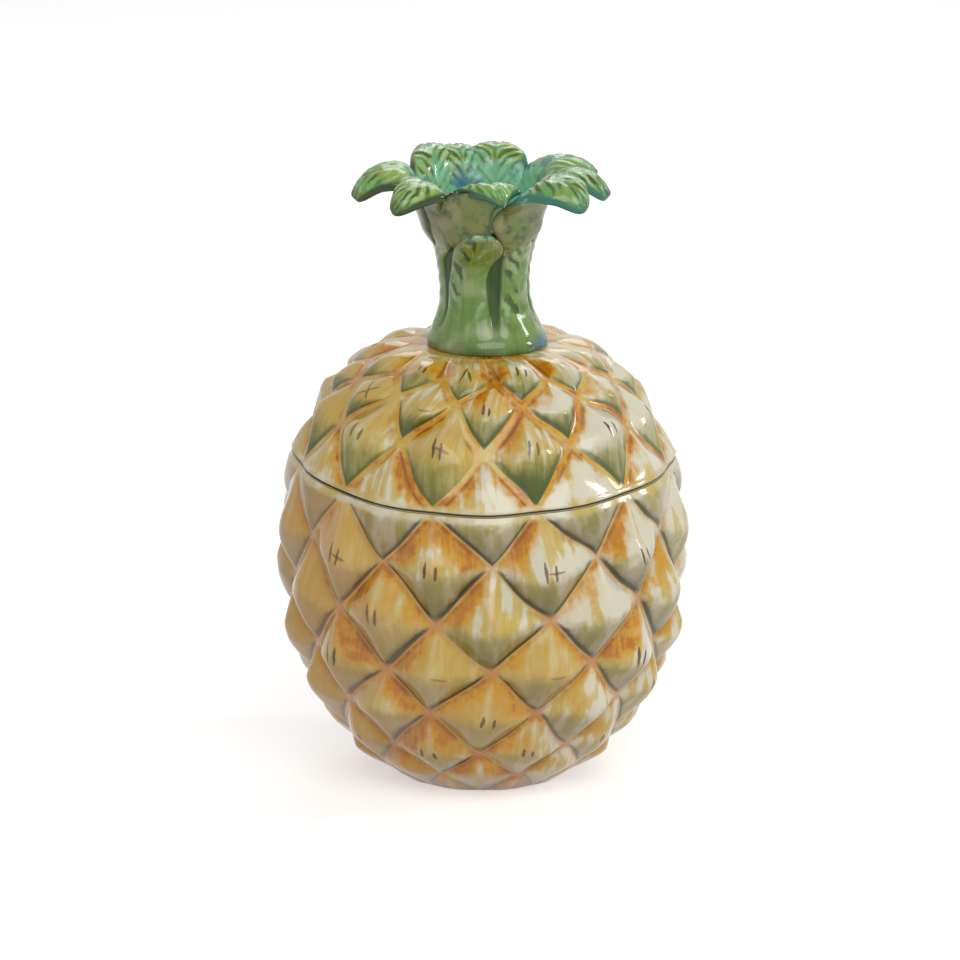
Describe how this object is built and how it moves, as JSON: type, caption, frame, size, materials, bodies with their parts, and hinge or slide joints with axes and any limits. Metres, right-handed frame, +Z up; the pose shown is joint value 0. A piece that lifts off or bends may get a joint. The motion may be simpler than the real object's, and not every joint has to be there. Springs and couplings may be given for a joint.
{
  "type": "pineapple lidded box",
  "caption": "Hand-painted glazed ceramic box shaped as a pineapple, with a scaled pot and a scaled lid that lifts off by its leafy crown.",
  "frame": {"origin": "centre of the foot, on the surface that the box stands on", "axes": "+Z up along the axis of the pot, the front of the box as pictured faces -Y, and +X is to its right"},
  "size_m": [0.1776, 0.1776, 0.2746],
  "materials": {
    "scale_glaze": "gloss",
    "liner_glaze": "gloss",
    "stem_glaze": "gloss",
    "leaf_glaze": "gloss"
  },
  "bodies": {
    "pot": {"pot": "scale_glaze"},
    "lid": {"lid_dome": "scale_glaze", "lid_locating_ring": "liner_glaze", "crown_stem": "stem_glaze", "sheath_leaf_front": "stem_glaze", "sheath_leaf_right": "stem_glaze", "sheath_leaf_back_right": "stem_glaze", "sheath_leaf_back_left": "stem_glaze", "sheath_leaf_left": "stem_glaze", "crown_leaf_left": "leaf_glaze", "crown_leaf_front_left": "leaf_glaze", "crown_leaf_front": "leaf_glaze", "crown_leaf_front_right": "leaf_glaze", "crown_leaf_right": "leaf_glaze", "crown_leaf_back_right": "leaf_glaze", "crown_leaf_back": "leaf_glaze", "crown_leaf_back_left": "leaf_glaze", "crown_leaf_left_back": "leaf_glaze"}
  },
  "joints": [
    {"name": "lid_lift", "type": "slide", "parent": "pot", "child": "lid", "axis": [0, 0, 1], "range_m": [0, 0.12]}
  ]
}
